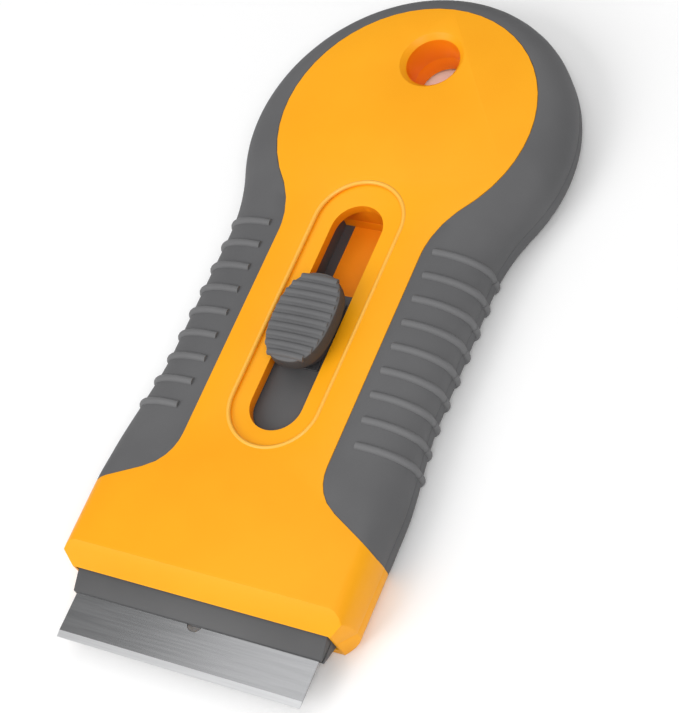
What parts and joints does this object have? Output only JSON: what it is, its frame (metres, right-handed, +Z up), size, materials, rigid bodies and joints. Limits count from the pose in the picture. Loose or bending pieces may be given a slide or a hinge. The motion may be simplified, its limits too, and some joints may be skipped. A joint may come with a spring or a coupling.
{
  "type": "razor blade scraper",
  "caption": "Flat waisted hand scraper with a rounded head, soft ribbed grip, sliding thumb button and a single-edge razor blade clamped in a holder that slides out of the bevelled front.",
  "frame": {"origin": "middle of the bounding box's bottom, on the flat back", "axes": "+Y towards the rounded head, -Y towards the blade edge, +X to the right seen from above, +Z up out of the orange face"},
  "size_m": [0.0512, 0.1114, 0.0124],
  "materials": {
    "shell": "smooth satin",
    "grip": "matte soft touch",
    "holder": "matte",
    "button": "matte",
    "steel": "ground",
    "screw": "plain"
  },
  "bodies": {
    "handle": {"top_shell": "shell", "bottom_shell": "shell", "top_grip": "grip", "bottom_grip": "grip", "case_screws": "screw"},
    "carriage": {"slide_carriage": "holder", "blade_cap": "holder", "blade": "steel", "blade_spine": "steel", "lock_spring": "screw"},
    "button": {"thumb_button": "button"}
  },
  "joints": [
    {"name": "carriage_slide", "type": "slide", "parent": "handle", "child": "carriage", "axis": [0, 1, 0], "range_m": [-0.009, 0.013]},
    {"name": "button_press", "type": "slide", "parent": "carriage", "child": "button", "axis": [0, 0, -1], "range_m": [0, 0.001], "stiffness_N_per_m": 1500, "springref_m": -0.0005, "deforming": ["lock_spring"]}
  ]
}
